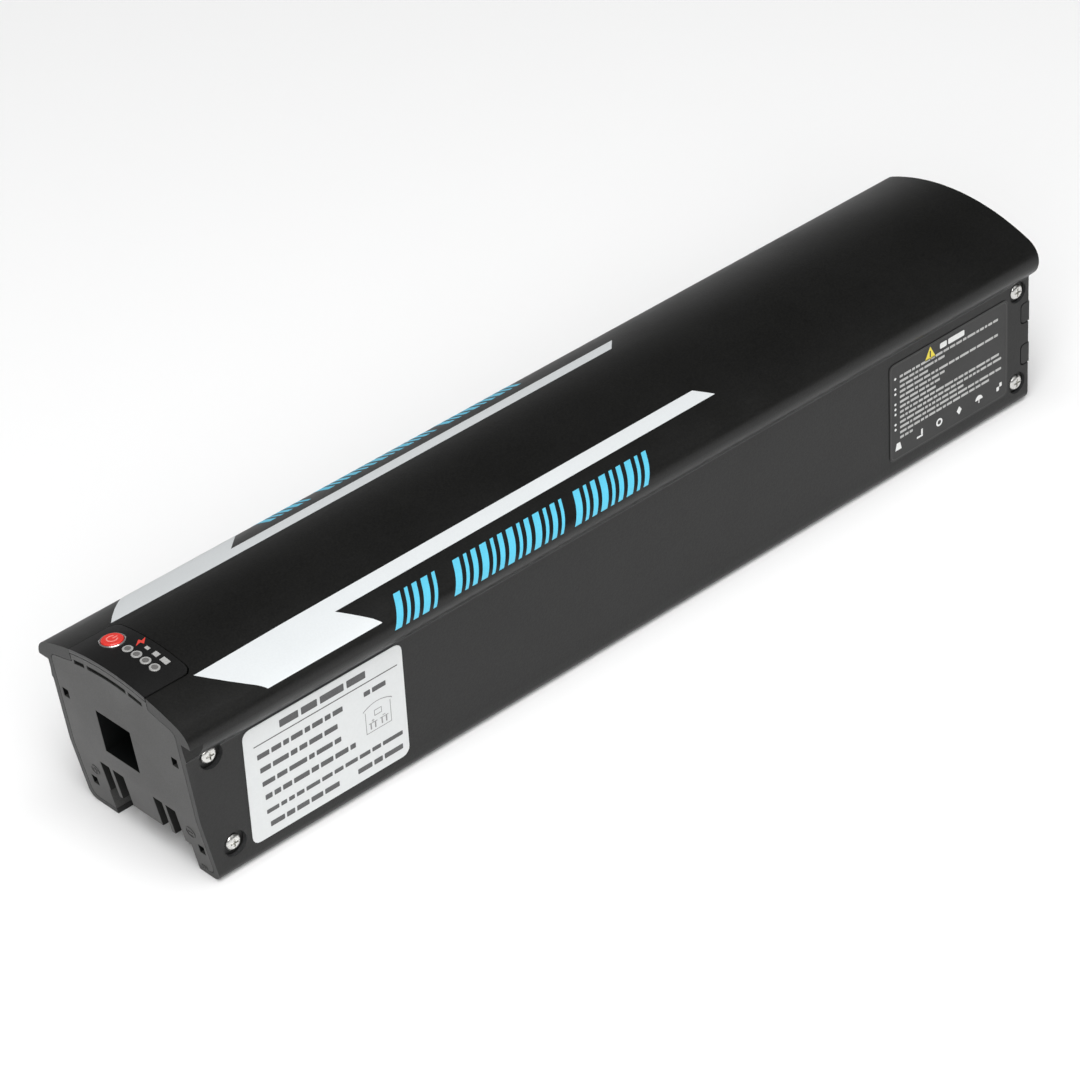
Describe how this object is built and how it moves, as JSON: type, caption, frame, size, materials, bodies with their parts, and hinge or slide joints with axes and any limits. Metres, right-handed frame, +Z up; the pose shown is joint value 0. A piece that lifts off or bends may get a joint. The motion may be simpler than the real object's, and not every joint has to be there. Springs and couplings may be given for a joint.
{
  "type": "battery pack",
  "caption": "Slide-in battery pack of a folding electric bicycle: flared black extrusion, slanted contact cap with lock recess, push button and lamps on top.",
  "frame": {"origin": "bottom centre of the part's box", "axes": "+X along the pack from the contact end to the tail, +Y to the side without labels, +Z up to the crown"},
  "size_m": [0.415, 0.08, 0.0787],
  "materials": {
    "housing": "satin black anodised aluminium",
    "caps": "dark grey moulded plastic",
    "rubber": "matt black",
    "panel": "satin black film",
    "bezel": "satin bright",
    "button": "red, satin",
    "small_plastic": "black",
    "lenses": "clear grey, satin",
    "boards": "green circuit board",
    "heat_sink": "bare",
    "contacts": "bare",
    "cells": null,
    "nickel": "bare nickel",
    "trays": "natural",
    "red_wire": "silicone",
    "black_wire": "silicone",
    "grey_wire": "silicone",
    "screws": "zinc plated",
    "white_label": "white polyester sticker",
    "dark_label": "black polyester sticker"
  },
  "bodies": {
    "pack": {"housing": "housing", "connector_cap": "caps", "tail_cap": "caps", "front_gasket": "rubber", "tail_gasket": "rubber", "indicator_panel": "panel", "button_bezel": "bezel", "button_switch": "small_plastic", "charge_socket": "small_plastic", "lamp_lens_1": "lenses", "lamp_lens_2": "lenses", "lamp_lens_3": "lenses", "lamp_lens_4": "lenses", "indicator_board": "boards", "protection_board": "boards", "board_heat_sink": "heat_sink", "contact_positive": "contacts", "contact_negative": "contacts", "cell_group_01": "cells", "cell_group_02": "cells", "cell_group_03": "cells", "cell_group_04": "cells", "cell_group_05": "cells", "cell_group_06": "cells", "cell_group_07": "cells", "cell_group_08": "cells", "cell_group_09": "cells", "cell_group_10": "cells", "series_link_1": "nickel", "series_link_2": "nickel", "series_link_3": "nickel", "series_link_4": "nickel", "series_link_5": "nickel", "series_link_6": "nickel", "series_link_7": "nickel", "series_link_8": "nickel", "turn_link": "nickel", "cell_tray_bottom": "trays", "cell_tray_middle": "trays", "cell_tray_top": "trays", "contact_lead_positive": "red_wire", "pack_lead_positive": "red_wire", "contact_lead_negative": "black_wire", "pack_lead_negative": "black_wire", "charge_lead": "black_wire", "indicator_cable": "grey_wire", "cover_pin": "screws", "screw_front_upper_left": "screws", "screw_front_upper_right": "screws", "screw_front_lower_left": "screws", "screw_front_lower_right": "screws", "screw_tail_upper_left": "screws", "screw_tail_upper_right": "screws", "screw_tail_lower_left": "screws", "screw_tail_lower_right": "screws", "rating_label": "white_label", "notices_label": "dark_label"},
    "button": {"power_button": "button"},
    "cover": {"charge_cover": "rubber"}
  },
  "joints": [
    {"name": "button_press", "type": "slide", "parent": "pack", "child": "button", "axis": [0, -0.1267, -0.9919], "range_m": [0, 0.0006], "stiffness_N_per_m": 900},
    {"name": "cover_hinge", "type": "hinge", "parent": "pack", "child": "cover", "pos_m": [0.2049, 0, 0.0454], "axis": [0, -1, 0], "range_deg": [0, 120]}
  ]
}
